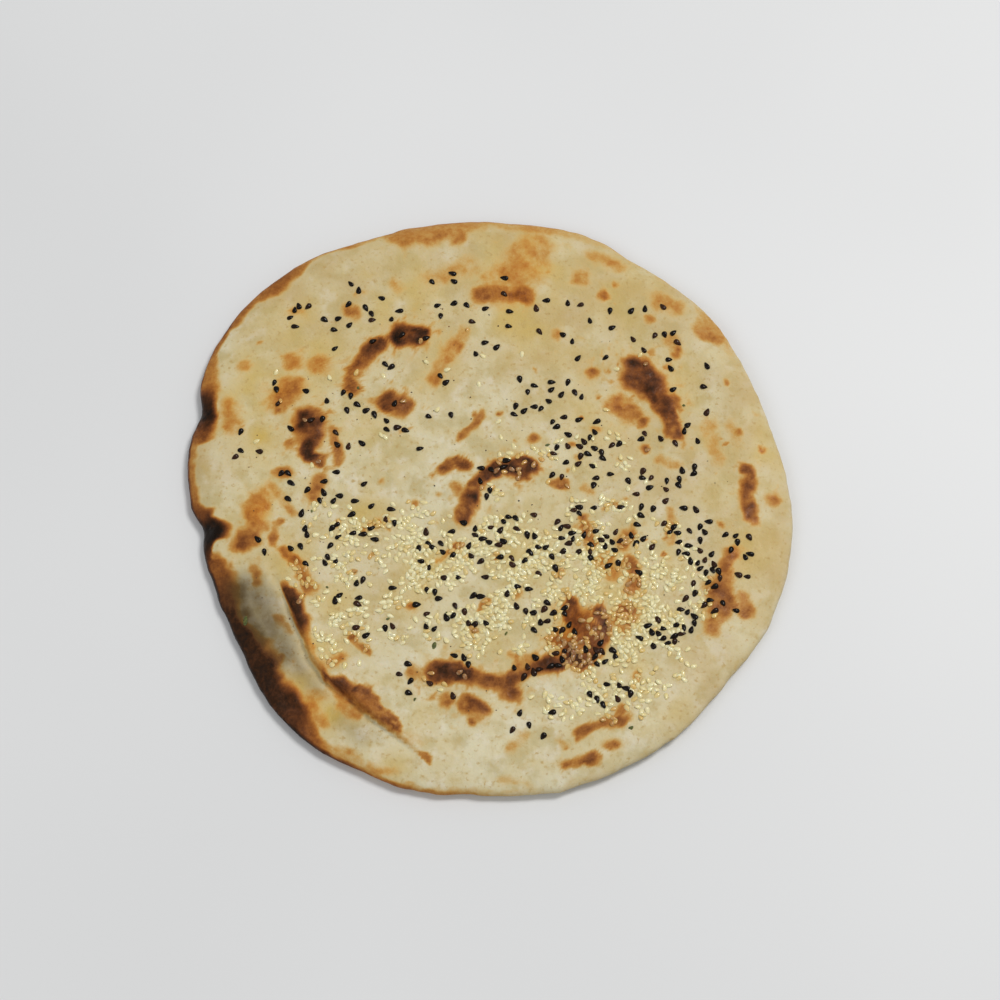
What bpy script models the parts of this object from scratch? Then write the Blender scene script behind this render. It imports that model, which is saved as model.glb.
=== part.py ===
"""Tandoori paratha: one round flatbread with a folded edge and black seeds, lying flat.

The scene is in metres with +Z up. The origin lies under the middle of the bread, on the surface that it
rests on, and -Y is the side nearest the viewer. The sizes and places below are in millimetres, and a
bearing is in degrees from +X towards +Y.
"""

import math
import random

import bmesh
import bpy
import numpy as np
from mathutils import Matrix, Vector
from mathutils.bvhtree import BVHTree

MM = 0.001

# Outline: radius of the rim at each bearing, read at the places where it bends.
RIM_POINTS = (
    (0, 100.6), (14, 97.7), (28, 98.6), (42, 101.3), (60, 101.4), (70, 105.3), (86, 104.0),
    (112, 104.6), (128, 109.0), (141, 110.3), (155, 107.4), (170, 102.0), (180, 99.8), (194, 95.5),
    (208, 95.6), (217, 97.4), (227, 101.6), (240, 105.0), (248, 103.3), (255, 105.8), (268, 103.5),
    (281, 105.6), (304, 104.2), (319, 101.6), (330, 102.8), (345, 102.4),
)
RIM_SMOOTHING = 4.4
# Pinched notches in the rim: bearing, half width in degrees, depth.
NOTCHES = ((163.5, 3.7, 2.9), (188.4, 3.2, 2.4))

# Cross-section from the middle to the rim.
CROWN = 7.0
EDGE_HEIGHT = 2.6
SHOULDER = 0.87
UNDER_SHOULDER = 0.945
# The folded side slopes away sooner: bearing, half width in degrees, how far the shoulder moves in.
FOLDED_SIDE = (216.0, 30.0, 0.13)
# The rim lifts a little off the surface: bearing, half width in degrees, lift.
LIFTS = ((30.0, 24.0, 1.5), (112.0, 26.0, 2.2), (298.0, 20.0, 1.1))
LIFT_START = 0.68
# The relief dies away over this share of the radius at the rim.
RIM_FADE = 0.06

# The outer end of the rolled dough lies over the rim as a fold. Its edge runs between these points.
CREASE = (
    (-70.5, -28.0), (-66.5, -36.0), (-62.8, -44.5), (-59.8, -51.0), (-56.5, -60.0), (-51.5, -67.0),
    (-44.0, -72.5), (-36.0, -79.5), (-28.0, -86.0), (-21.0, -92.0), (-16.5, -96.5),
)
CREASE_LIP = 1.0
CREASE_DROP = 2.2
CREASE_EDGE_WIDTH = 1.2
CREASE_LIP_WIDTH = 6.0
CREASE_VALLEY_WIDTH = 9.0
# The shares of its length over which the fold comes up and dies away.
CREASE_FADES = (0.2, 0.3)

# Turns of the rolled dough that stand up through the crust: height, half width, points.
RIDGES = (
    (0.9, 5.5, ((-22, -61), (-12, -65), (0, -67.5), (12, -66), (24, -60), (32, -52), (36, -43))),
    (0.8, 5.0, ((-10, -12), (-7, -4), (0, 4), (7, 9), (15, 6))),
    (0.6, 6.0, ((-47, 38), (-43, 47), (-36, 54), (-26, 57.5), (-18, 55))),
    (1.0, 6.0, ((47, 43), (55, 42), (60.5, 32), (61, 20))),
    (0.6, 5.5, ((86, 8), (86.5, -3), (84, -14))),
    (0.6, 6.0, ((78, -22), (75, -36), (71, -48))),
    (0.6, 6.5, ((-4, 72), (8, 75), (18, 73))),
    (0.5, 5.0, ((26, -86), (36, -82.5), (44, -78))),
)
# Bubbles in the crust: x, y, radius, height.
BUBBLES = (
    (-60, 21, 9.0, 1.2), (-32, 32, 7.0, 0.8), (-70, 33, 8.0, 0.7), (-79, -18, 7.0, 0.7),
    (-77, -7, 7.0, 0.6), (33, 79, 8.0, 0.7), (-4, -78.5, 7.0, 0.9), (-90.5, -17, 4.5, 1.5),
    (-84, 45, 7.0, 0.6), (-47, 67, 7.0, 0.6), (62, 57, 9.0, 0.7), (46, -27, 8.0, 0.8),
    (30, -94, 6.0, 0.5), (-62, -3, 8.0, 0.6), (12, 92, 11.0, 0.8), (-25, 92, 9.0, 0.75),
)
# Slow rise and fall of the whole crust: wave vector in turns per 100 mm, phase in turns, height.
SWELLS = ((0.9, 0.4, 0.10, 0.35), (-0.5, 1.1, 0.62, 0.30), (1.5, -1.3, 0.35, 0.18))

# The turned disc that is shaped into the bread.
TURN_STEPS = 84
NOMINAL_RADIUS = 100.0
TOP_RINGS = (
    0.0, 0.08, 0.16, 0.24, 0.32, 0.40, 0.48, 0.55, 0.61, 0.66, 0.705, 0.745, 0.785, 0.825, 0.865, 0.90,
    0.935, 0.965, 0.988,
)
UNDER_RINGS = (0.985, 0.94, 0.68, 0.34, 0.0)
SIDE_MARK = 5.0
MERGE_DISTANCE = 0.00001
SHARP_ANGLE = 35.0

# Black seeds: where they lie thickly. Middle x and y, half width, half height, number.
SEED_PATCHES = (
    (-58, -16, 18, 15, 17), (-40, -8, 12, 12, 8), (-34, -42, 22, 12, 12), (-8, -24, 17, 11, 19),
    (-10, -42, 14, 10, 12), (13, -21, 14, 12, 16), (12, -40, 10, 6, 5), (30, -16, 11, 9, 15),
    (42, -21, 12, 13, 15), (55, -6, 12, 12, 10), (67, -17, 8, 10, 11), (71, -28, 4, 6, 9),
    (66, -42, 8, 9, 10), (80, -28, 7, 18, 7), (57, -52, 9, 5, 14), (22, -48, 9, 6, 12),
    (36, -59, 6, 4, 12), (15, -64, 7, 5, 9), (39, -71, 7, 8, 8), (-18, -66, 17, 8, 6),
    (14, -82, 10, 8, 4), (0, 2, 11, 9, 7), (35, 13, 21, 14, 22), (22, 33, 20, 11, 13),
    (63, 12, 13, 18, 10), (-62, 20, 25, 25, 16), (-35, 30, 26, 20, 12), (-50, 62, 25, 15, 16),
    (-5, 66, 27, 17, 13), (42, 62, 27, 16, 14), (72, 40, 13, 17, 8), (59, -52, 4, 3, 10),
    (38, -60, 4, 3.5, 10), (23, -62, 3, 4, 7), (73, -30, 3, 7, 12),
)
SEED_DRAW = 1906
SEED_SHARE = 0.55
SEED_GAP = 3.4
# How evenly a patch is filled: 0.5 is even, and more crowds its middle.
SEED_CROWDING = 0.6
SEED_SIZES = (0.9, 1.1)
SEED_LENGTH = 2.7
SEED_WIDTH = 1.65
SEED_THICKNESS = 1.1
SEED_TAPER = 0.28
SEED_COLUMNS = 6
SEED_ROWS = 4
# How far a seed's middle is above the crust.
SEED_PROUD = 0.12
SEED_RIM_LIMIT = 0.9
# Seeds are dropped from this height, in metres, to find the crust below.
DROP_HEIGHT = 0.1

CRUST_COLOUR = (0.62, 0.51, 0.31, 1.0)
CRUST_ROUGHNESS = 0.55


def smooth_step(t):
    """0 below 0, 1 above 1 and an even curve between."""
    t = np.clip(t, 0.0, 1.0)
    return t * t * (3.0 - 2.0 * t)


def bell(distance, half_width):
    return np.exp(-((distance / half_width) ** 2))


def turn_between(bearing, other):
    """The smaller angle between two bearings, in degrees."""
    return (bearing - other + 180.0) % 360.0 - 180.0


def rim_table():
    """The rim's radius at every half degree: straight between the rim points, then smoothed."""
    bearings = np.arange(0.0, 360.0, 0.5)
    points = np.array(RIM_POINTS, float)
    straight = np.interp(bearings, points[:, 0], points[:, 1], period=360.0)
    spread = bell(turn_between(bearings, 0.0), RIM_SMOOTHING)
    smooth = np.fft.irfft(np.fft.rfft(straight) * np.fft.rfft(spread / spread.sum()), len(bearings))
    for bearing, half_width, depth in NOTCHES:
        smooth -= depth * bell(turn_between(bearings, bearing), half_width)
    return bearings, smooth


RIM_BEARINGS, RIM_RADII = rim_table()


def rim_radius(bearing):
    return np.interp(bearing, RIM_BEARINGS, RIM_RADII, period=360.0)


def rim_middle():
    """The middle of the outline's box, which the origin is moved to."""
    angles = np.radians(RIM_BEARINGS)
    x, y = RIM_RADII * np.cos(angles), RIM_RADII * np.sin(angles)
    return (x.min() + x.max()) / 2.0, (y.min() + y.max()) / 2.0


def along(points, x, y):
    """For each place: signed distance from a line through the points, positive on its right, and how far
    along it the nearest point is, from 0 to 1."""
    points = np.array(points, float)
    lengths = np.hypot(*np.diff(points, axis=0).T)
    starts = np.concatenate([[0.0], np.cumsum(lengths)])
    nearest = np.full(np.shape(x), np.inf)
    signed = np.zeros(np.shape(x))
    share = np.zeros(np.shape(x))
    for (ax, ay), (bx, by), length, start in zip(points, points[1:], lengths, starts):
        ux, uy = (bx - ax) / length, (by - ay) / length
        run = np.clip((x - ax) * ux + (y - ay) * uy, 0.0, length)
        off_x, off_y = x - ax - run * ux, y - ay - run * uy
        distance = np.hypot(off_x, off_y)
        closer = distance < nearest
        nearest = np.where(closer, distance, nearest)
        signed = np.where(closer, np.where(off_x * uy - off_y * ux >= 0.0, distance, -distance), signed)
        share = np.where(closer, (start + run) / starts[-1], share)
    return signed, share


def crease_relief(x, y):
    """The fold's raised lip, the drop beyond its edge, and the crust that rises again towards the rim."""
    distance, share = along(CREASE, x, y)
    beyond = smooth_step(distance / CREASE_EDGE_WIDTH + 0.5)
    lip = CREASE_LIP * bell(np.minimum(distance, 0.0), CREASE_LIP_WIDTH)
    valley = -CREASE_DROP * bell(np.maximum(distance, 0.0), CREASE_VALLEY_WIDTH)
    fade = smooth_step(share / CREASE_FADES[0]) * smooth_step((1.0 - share) / CREASE_FADES[1])
    return fade * (lip * (1.0 - beyond) + valley * beyond)


def crust_relief(x, y):
    """Everything that rises from or sinks into the even upper crust."""
    relief = crease_relief(x, y)
    for height, half_width, points in RIDGES:
        relief += height * bell(along(points, x, y)[0], half_width)
    for bubble_x, bubble_y, radius, height in BUBBLES:
        relief += height * bell(np.hypot(x - bubble_x, y - bubble_y), radius)
    for wave_x, wave_y, phase, height in SWELLS:
        relief += height * np.sin(2.0 * math.pi * ((wave_x * x + wave_y * y) / 100.0 + phase))
    return relief


def lift(bearing, fraction):
    """How far the bread's edge is off the surface that it lies on."""
    rise = sum(height * bell(turn_between(bearing, middle), width) for middle, width, height in LIFTS)
    return rise * smooth_step((fraction - LIFT_START) / (1.0 - LIFT_START))


def upper_height(x, y, bearing, fraction):
    middle, width, shift = FOLDED_SIDE
    shoulder = SHOULDER - shift * bell(turn_between(bearing, middle), width)
    past = np.clip((fraction - shoulder) / (1.0 - shoulder), 0.0, 1.0)
    fall = np.sqrt(1.0 - past**2)
    relief = crust_relief(x, y) * smooth_step((1.0 - fraction) / RIM_FADE)
    return EDGE_HEIGHT + (CROWN - EDGE_HEIGHT) * fall + relief + lift(bearing, fraction)


def under_height(bearing, fraction):
    past = np.clip((fraction - UNDER_SHOULDER) / (1.0 - UNDER_SHOULDER), 0.0, 1.0)
    return EDGE_HEIGHT * (1.0 - np.sqrt(1.0 - past**2)) + lift(bearing, fraction)


def turned_disc(parts):
    """An even disc, turned from half its section, which runs from the middle of the top to that of the
    underside."""
    profile = [(fraction, SIDE_MARK) for fraction in TOP_RINGS]
    profile += [(1.0, 0.0)]
    profile += [(fraction, -SIDE_MARK) for fraction in UNDER_RINGS]
    mesh = bpy.data.meshes.new("section")
    points = [(fraction * NOMINAL_RADIUS * MM, 0.0, side * MM) for fraction, side in profile]
    mesh.from_pydata(points, [(i, i + 1) for i in range(len(points) - 1)], [])
    section = bpy.data.objects.new("section", mesh)
    parts.objects.link(section)
    screw = section.modifiers.new("turn", "SCREW")
    screw.axis = "Z"
    screw.angle = 2.0 * math.pi
    screw.steps = screw.render_steps = TURN_STEPS
    screw.use_merge_vertices = True
    screw.merge_threshold = MERGE_DISTANCE
    disc = evaluated_mesh(section, "paratha")
    bpy.data.objects.remove(section)
    return disc


def evaluated_mesh(obj, name):
    bpy.context.view_layer.update()
    graph = bpy.context.evaluated_depsgraph_get()
    mesh = bpy.data.meshes.new_from_object(obj.evaluated_get(graph), depsgraph=graph)
    mesh.name = name
    return mesh


def shape_crust(mesh):
    """Moves the turned disc's points out to the uneven rim and up or down to the crust."""
    points = np.empty(len(mesh.vertices) * 3)
    mesh.vertices.foreach_get("co", points)
    points = points.reshape(-1, 3) / MM
    bearing = np.degrees(np.arctan2(points[:, 1], points[:, 0])) % 360.0
    fraction = np.hypot(points[:, 0], points[:, 1]) / NOMINAL_RADIUS
    radius = fraction * rim_radius(bearing)
    x, y = radius * np.cos(np.radians(bearing)), radius * np.sin(np.radians(bearing))
    on_top = points[:, 2] > -0.5 * SIDE_MARK
    z = np.where(on_top, upper_height(x, y, bearing, fraction), under_height(bearing, fraction))
    shift_x, shift_y = rim_middle()
    shaped = np.stack([x - shift_x, y - shift_y, z], axis=1)
    mesh.vertices.foreach_set("co", (shaped * MM).ravel())
    mesh.update()


def seed_places():
    """Places for a share of each patch's seeds, thinning towards its edge and no closer than the gap."""
    draw = random.Random(SEED_DRAW)
    placed = []
    for middle_x, middle_y, half_width, half_height, number in SEED_PATCHES:
        for _ in range(round(number * SEED_SHARE)):
            bearing = draw.uniform(0.0, 2.0 * math.pi)
            out = draw.uniform(0.0, 1.0) ** SEED_CROWDING
            turn = draw.uniform(0.0, 360.0)
            size = draw.uniform(*SEED_SIZES)
            x = middle_x + half_width * out * math.cos(bearing)
            y = middle_y + half_height * out * math.sin(bearing)
            limit = SEED_RIM_LIMIT * rim_radius(math.degrees(math.atan2(y, x)))
            clear = all(math.hypot(x - other[0], y - other[1]) > SEED_GAP for other in placed)
            if clear and math.hypot(x, y) < limit:
                placed.append((x, y, turn, size))
    return placed


def seed_mesh():
    """A black seed: an oval that narrows to a blunt point at one end."""
    shape = bmesh.new()
    poles_along_x = Matrix.Rotation(math.pi / 2.0, 4, "Y")
    bmesh.ops.create_uvsphere(
        shape, u_segments=SEED_COLUMNS, v_segments=SEED_ROWS, radius=1.0, matrix=poles_along_x
    )
    for point in shape.verts:
        narrow = 1.0 - SEED_TAPER * point.co.x
        point.co.x *= SEED_LENGTH / 2.0 * MM
        point.co.y *= SEED_WIDTH / 2.0 * MM * narrow
        point.co.z *= SEED_THICKNESS / 2.0 * MM * narrow
    mesh = bpy.data.meshes.new("seed")
    shape.to_mesh(mesh)
    shape.free()
    return mesh


def lay_seeds(crust, seeds):
    """Lays each seed flat on the crust below it, pressed in by less than half."""
    surface = BVHTree.FromPolygons([v.co[:] for v in crust.vertices], [p.vertices[:] for p in crust.polygons])
    mesh = seed_mesh()
    shift_x, shift_y = rim_middle()
    for x, y, turn, size in seed_places():
        above = Vector(((x - shift_x) * MM, (y - shift_y) * MM, DROP_HEIGHT))
        place, normal, _, _ = surface.ray_cast(above, Vector((0.0, 0.0, -1.0)))
        seed = bpy.data.objects.new("seed", mesh)
        flat = Vector((0.0, 0.0, 1.0)).rotation_difference(normal).to_matrix().to_4x4()
        seed.matrix_world = (
            Matrix.Translation(place + normal * SEED_PROUD * MM)
            @ flat
            @ Matrix.Rotation(math.radians(turn), 4, "Z")
            @ Matrix.Scale(size, 4)
        )
        seeds.objects.link(seed)


def fuse(bread, seeds):
    """Joins every seed in the collection to the crust, so that bread and seeds are one solid."""
    union = bread.modifiers.new("seeds", "BOOLEAN")
    union.operation = "UNION"
    union.operand_type = "COLLECTION"
    union.collection = seeds
    union.solver = "EXACT"
    joined = evaluated_mesh(bread, "paratha")
    bread.modifiers.remove(union)
    bread.data = joined
    for seed in list(seeds.objects):
        bpy.data.objects.remove(seed)
    bpy.data.collections.remove(seeds)


def crust_material():
    material = bpy.data.materials.new("toasted_crust")
    material.use_nodes = True
    shader = material.node_tree.nodes["Principled BSDF"]
    shader.inputs["Base Color"].default_value = CRUST_COLOUR
    shader.inputs["Roughness"].default_value = CRUST_ROUGHNESS
    shader.inputs["Metallic"].default_value = 0.0
    return material


def main():
    for obj in list(bpy.data.objects):
        bpy.data.objects.remove(obj)
    parts = bpy.data.collections.new("tandoori_paratha")
    seeds = bpy.data.collections.new("seeds")
    bpy.context.scene.collection.children.link(parts)
    bpy.context.scene.collection.children.link(seeds)
    crust = turned_disc(parts)
    shape_crust(crust)
    lay_seeds(crust, seeds)
    bread = bpy.data.objects.new("paratha", crust)
    parts.objects.link(bread)
    fuse(bread, seeds)
    bread.data.materials.clear()
    bread.data.materials.append(crust_material())
    bread.data.shade_smooth()
    bread.data.set_sharp_from_angle(angle=math.radians(SHARP_ANGLE))


main()
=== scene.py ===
"""Looks of a tandoori paratha: a round flatbread, baked brown and black in places, with black seeds, white
sesame and a few herb flakes on its upper side.

The scene is in metres with +Z up. The sizes and places below are in millimetres and the bearings in degrees
from +X towards +Y. The outline and the larger relief repeat the solid model's own rules, and the finer
crust is added to them.
"""

import math
import random

import bmesh
import bpy
import numpy as np
from mathutils import Matrix, Vector
from mathutils.bvhtree import BVHTree

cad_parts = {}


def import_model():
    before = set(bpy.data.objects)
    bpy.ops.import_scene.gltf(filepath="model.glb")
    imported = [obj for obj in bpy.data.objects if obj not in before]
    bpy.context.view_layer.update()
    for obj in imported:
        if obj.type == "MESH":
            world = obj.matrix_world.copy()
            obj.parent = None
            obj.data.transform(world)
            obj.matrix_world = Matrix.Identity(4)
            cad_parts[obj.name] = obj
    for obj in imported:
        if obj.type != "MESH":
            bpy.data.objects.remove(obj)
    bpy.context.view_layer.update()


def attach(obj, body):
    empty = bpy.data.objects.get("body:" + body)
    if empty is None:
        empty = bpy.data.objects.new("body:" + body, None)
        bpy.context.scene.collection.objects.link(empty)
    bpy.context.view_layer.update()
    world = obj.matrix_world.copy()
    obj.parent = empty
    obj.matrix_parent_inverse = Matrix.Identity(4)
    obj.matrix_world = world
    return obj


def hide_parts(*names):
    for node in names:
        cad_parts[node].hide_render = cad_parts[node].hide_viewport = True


MM = 0.001

# Outline: radius of the rim at each bearing, and the pinched notches (bearing, half width, depth).
RIM_POINTS = (
    (0, 100.6), (14, 97.7), (28, 98.6), (42, 101.3), (60, 101.4), (70, 105.3), (86, 104), (112, 104.6),
    (128, 109), (141, 110.3), (155, 107.4), (170, 102), (180, 99.8), (194, 95.5), (208, 95.6), (217, 97.4),
    (227, 101.6), (240, 105), (248, 103.3), (255, 105.8), (268, 103.5), (281, 105.6), (304, 104.2),
    (319, 101.6), (330, 102.8), (345, 102.4),
)
RIM_SMOOTHING = 4.4
NOTCHES = ((163.5, 3.7, 2.9), (188.4, 3.2, 2.4))

# Cross-section from the middle to the rim.
CROWN = 7.0
EDGE_HEIGHT = 2.6
SHOULDER = 0.87
UNDER_SHOULDER = 0.945
FOLDED_SIDE = (216.0, 30.0, 0.13)
LIFTS = ((30.0, 24.0, 1.5), (112.0, 26.0, 2.2), (298.0, 20.0, 1.1))
LIFT_START = 0.68
# The relief dies away over this share of the radius at the rim.
RIM_FADE = 0.06

# The fold near the rim: the x and y of each point along it.
CREASE = (
    -70.5, -28, -66.5, -36, -62.8, -44.5, -59.8, -51, -56.5, -60, -51.5, -67, -44, -72.5, -36, -79.5,
    -28, -86, -21, -92, -16.5, -96.5,
)
CREASE_LIP = 1.0
CREASE_DROP = 2.2
CREASE_EDGE_WIDTH = 1.2
CREASE_LIP_WIDTH = 6.0
CREASE_VALLEY_WIDTH = 9.0
# The shares of its length over which the fold comes up and dies away.
CREASE_FADES = (0.2, 0.3)

# Turns of the rolled dough that stand up through the crust: height, half width, then x and y of each point.
RIDGES = (
    (0.9, 5.5, -22, -61, -12, -65, 0, -67.5, 12, -66, 24, -60, 32, -52, 36, -43),
    (0.8, 5, -10, -12, -7, -4, 0, 4, 7, 9, 15, 6), (0.6, 6, -47, 38, -43, 47, -36, 54, -26, 57.5, -18, 55),
    (1, 6, 47, 43, 55, 42, 60.5, 32, 61, 20), (0.6, 5.5, 86, 8, 86.5, -3, 84, -14),
    (0.6, 6, 78, -22, 75, -36, 71, -48), (0.6, 6.5, -4, 72, 8, 75, 18, 73),
    (0.5, 5, 26, -86, 36, -82.5, 44, -78),
)
# Bubbles in the crust: x, y, radius, height.
BUBBLES = (
    (-60, 21, 9, 1.2), (-32, 32, 7, 0.8), (-70, 33, 8, 0.7), (-79, -18, 7, 0.7), (-77, -7, 7, 0.6),
    (33, 79, 8, 0.7), (-4, -78.5, 7, 0.9), (-90.5, -17, 4.5, 1.5), (-84, 45, 7, 0.6), (-47, 67, 7, 0.6),
    (62, 57, 9, 0.7), (46, -27, 8, 0.8), (30, -94, 6, 0.5), (-62, -3, 8, 0.6), (12, 92, 11, 0.8),
    (-25, 92, 9, 0.75),
)
# Slow rise and fall of the whole crust: wave vector in turns per 100 mm, phase in turns, height.
SWELLS = ((0.9, 0.4, 0.10, 0.35), (-0.5, 1.1, 0.62, 0.30), (1.5, -1.3, 0.35, 0.18))

# Browning of the crust, from 0 for pale through 0.5 for orange-brown to 1 for black.
# Marks on the upper side: browning, half width, then x and y of each point.
MARKS = (
    # The lower turn of the roll.
    (0.78, 4.2, -16.2, -65.3, -8, -66), (0.62, 3.9, -7, -67, 6, -68.4), (0.57, 3.6, 3, -68.6, 9, -71.8),
    (0.55, 2.7, 5, -67, 13, -65.5, 18, -63.5), (0.69, 3.2, 18, -63, 26, -59.5),
    (0.78, 3.2, 21, -62, 26.5, -59), (0.52, 5.2, 23, -54, 29, -54), (0.62, 3.2, 26.5, -42, 29, -49),
    (0.46, 3, 30, -45.5, 34, -46.5), (0.68, 2.6, 36, -44, 36.5, -51, 35.5, -58),
    (0.64, 3.4, 32, -51, 34.5, -57, 29, -62), (0.36, 3.4, -22.5, -65), (0.4, 3, 14, -61, 10, -63),
    (0.44, 3.4, -14, -74.5),
    # Inside the roll.
    (0.66, 3.9, -8, -10.5, -6.5, -7), (0.7, 3.2, -6, -6, -4, -1, 0, 3),
    (0.68, 3.3, 0, 3.5, 5, 7, 9, 7.5), (0.77, 4.3, 9, 6.6, 13.2, 6.2), (0.57, 1.8, 13.5, 2.5),
    (0.68, 2.7, -9, 8, -8, 7.5), (0.53, 2.3, -12, 8, -15, 5), (0.44, 2.7, -11.5, -0.5, -10, -2.5),
    (0.48, 1.9, -2, 26, -5, 22.5, -9, 18.5), (0.44, 2.6, 14.5, 18.5), (0.57, 2.1, -10, -21.8),
    (0.36, 1.4, -11.5, -23, -16.5, -27), (0.44, 1.7, -24.5, -6), (0.36, 1.8, -17, -3),
    (0.5, 1.7, -24.5, -42.5), (0.44, 1.3, -1.5, -43.5, 0, -40), (0.44, 2.6, -36.5, -13.5),
    (0.48, 1.7, -42.5, -53, -41, -56, -39, -58.5), (0.5, 2.2, 22, 1.5, 25.5, 0),
    (0.52, 1.9, 31.5, -12.5, 33, -21), (0.48, 3, 46.5, -16, 43.5, -21), (0.4, 1.6, -38, -24),
    (0.48, 2.8, 46, -26.5, 47.5, -33, 46.5, -37.5), (0.42, 3.8, 37.5, -27.5, 41, -31),
    (0.48, 4.4, 45.5, -45, 43, -48), (0.36, 2.2, 60, -9, 60.5, -20), (0.5, 1.4, 58, -25),
    (0.46, 2, 42, -6.5), (0.36, 2.2, 24, -31), (0.34, 2.6, 48, -66.5), (0.4, 1.5, 26, 5.5),
    # Lower edge.
    (0.57, 3.6, -7.5, -76.5, -2, -78.5), (0.48, 1.9, -5, -82), (0.26, 3, 7, -90, 10, -86),
    (0.48, 2.3, 28, -85.5, 35, -82.5, 43.5, -80), (0.38, 2, 24, -88.5),
    (0.42, 2.5, 38.5, -89.5, 40, -88.5), (0.5, 2.1, 24, -95.5, 30, -93.5, 35, -93.5),
    (0.28, 2.6, -28, -97, -38, -95, -46, -90), (0.24, 2.4, 4, -100, 12, -101),
    # Along the fold.
    (0.4, 2.8, -50, -69.5, -46, -74, -41, -78), (0.34, 2.4, -67, -47, -64.5, -50.5),
    (0.5, 1.7, -67, -59.5), (0.32, 3.8, -57, -74.5, -52, -80), (0.44, 3.2, -60, -31, -57, -36),
    (0.36, 2.6, -50.5, -62.5, -47, -60), (0.22, 2.4, -24, -85, -21, -88),
    (0.6, 1.3, -44, -71.8, -36.5, -78, -27.5, -85), (0.62, 2, -41, -70.5, -38.5, -72),
    (0.56, 1.3, -37, -74, -32, -78, -27, -82.5), (0.24, 2.6, -56, -71, -52.5, -73),
    # Left side.
    (0.76, 6.4, -60.5, 22.5, -60, 20), (0.73, 3.1, -60, 16, -60.5, 11, -57, 9.5),
    (0.46, 2.7, -67.5, 15), (0.44, 5.6, -70.5, 31, -67.5, 37), (0.48, 2.6, -71.5, 29),
    (0.47, 4.2, -66, 47), (0.42, 4.8, -57.5, 45.5), (0.38, 3.4, -83, 45), (0.36, 3.2, -66.5, 66),
    (0.48, 3.7, -47, 66), (0.44, 2.4, -51, 20, -50, 9.5), (0.5, 3.7, -58, -2.5, -56.5, 0.5),
    (0.44, 2.7, -69, 3.5, -67, 4.5), (0.44, 4.4, -75.5, -5, -76.5, -10, -75, -14),
    (0.53, 3.7, -80, -20, -76, -19), (0.42, 2.1, -69, -14, -69.5, -20), (0.47, 3, -88, -26, -86.5, -31),
    (0.4, 2.7, -75.5, -29, -74, -33), (0.46, 2.6, -66, -23, -61, -27.5), (0.36, 2.9, -86, 21),
    (0.34, 5.2, -88, 29, -86, 22), (0.32, 3, -72, -1, -64, -9),
    # Far side.
    (0.76, 4.4, -30.5, 56, -23.5, 56.5), (0.63, 3.3, -37, 54, -42, 48),
    (0.55, 3.5, -43, 46, -46.5, 40, -46, 36.5), (0.64, 4.4, -33, 31.5, -29.5, 30),
    (0.38, 3.2, -9, 56, -13, 50, -19, 40), (0.34, 3.4, -8, 58), (0.38, 4.8, -30, 94, -12, 97),
    (0.34, 10, 15, 90, 9, 80, 5, 76), (0.5, 4.2, -2, 72.5, 5, 73.5, 13, 73), (0.37, 4.2, 32.5, 79),
    (0.38, 3, 24, 56.5), (0.3, 5, 58, 71, 65, 68), (0.4, 3.4, 72, 60, 79, 56), (0.48, 3, 36.5, 42),
    (0.26, 6, -20, 78, -6, 84), (0.28, 5, 38, 88, 46, 84), (0.31, 4.4, 62, 54.5), (0.28, 4, -32, 76),
    # Right side.
    (0.75, 6.4, 50, 42, 55, 38.5), (0.71, 4.8, 56, 38, 60, 30), (0.64, 3.4, 60, 30, 62, 24, 62.5, 19),
    (0.42, 5, 44, 30, 48, 27), (0.55, 2.7, 52, 24), (0.5, 2.1, 52.5, 15), (0.3, 2.8, 57, 10, 63, 7),
    (0.56, 2.4, 86, 6.5, 87.5, 4.5), (0.54, 3.2, 86, 1, 86, -5, 86, -12), (0.44, 3.6, 94, -5),
    (0.5, 3.2, 79, -24, 78, -30, 76.5, -34), (0.5, 4.6, 74, -36, 76.5, -40, 74, -44),
    (0.48, 3.2, 83.5, -40, 83, -44), (0.4, 3.1, 72, -47.5, 72, -51), (0.22, 3.6, 82, 22, 84, 14),
    (0.24, 4.4, 74, 24, 76, 10),
)
# The part of a mark's half width that is evenly brown, for each 1 of browning, and where it ends.
MARK_PLATEAU = 0.6
MARK_END = 1.5
HALO_BROWNING = 0.28
HALO_WIDTH = 2.4
FLECK_CELL = 1.7
# The noise at which flecks start, and over which they come up.
FLECK_RISE = (0.25, 0.4)
FLECK_BROWNING = 0.55
FLECK_REACH = 2.4
# Layers of noise, each with its cell and how far it goes.
MOTTLE = ((3.2, 0.25), (1.5, 0.16))
MARK_WANDER = ((7.0, 1.2), (2.6, 0.7), (1.3, 0.35))
LIP_WANDER = ((4.0, 1.2), (1.8, 0.6))
RIM_WANDER = ((6.0, 1.0), (2.6, 0.7))
RIM_CHAR_AND_SHADE_WANDER = ((4.0, 0.4),)
RIM_SHAKE = ((5.0, 1.2),)

# Browning of the fold's raised edge: how far along the fold, browning, how far in from the edge it reaches.
LIP_BROWNING = (
    (0.06, 0, 3), (0.11, 0.76, 3.5), (0.19, 0.84, 6.5), (0.26, 0.84, 5.8), (0.31, 0.4, 3),
    (0.4, 0.28, 3), (0.45, 0.4, 4), (0.49, 0.76, 3.4), (0.57, 0.76, 4.4), (0.61, 0.54, 5.4),
    (0.66, 0.52, 5.8), (0.72, 0.44, 5.2), (0.79, 0.42, 4.4), (0.84, 0.3, 4), (0.89, 0.22, 3.2),
    (0.93, 0.42, 2.2), (0.97, 0.46, 2), (1, 0, 1),
)
LIP_EDGE = 0.9
# The share of its reach where browning starts to fade, and over which it fades.
LIP_FALL = (0.3, 0.8)
RIM_FALL = (0.5, 0.65)

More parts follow.
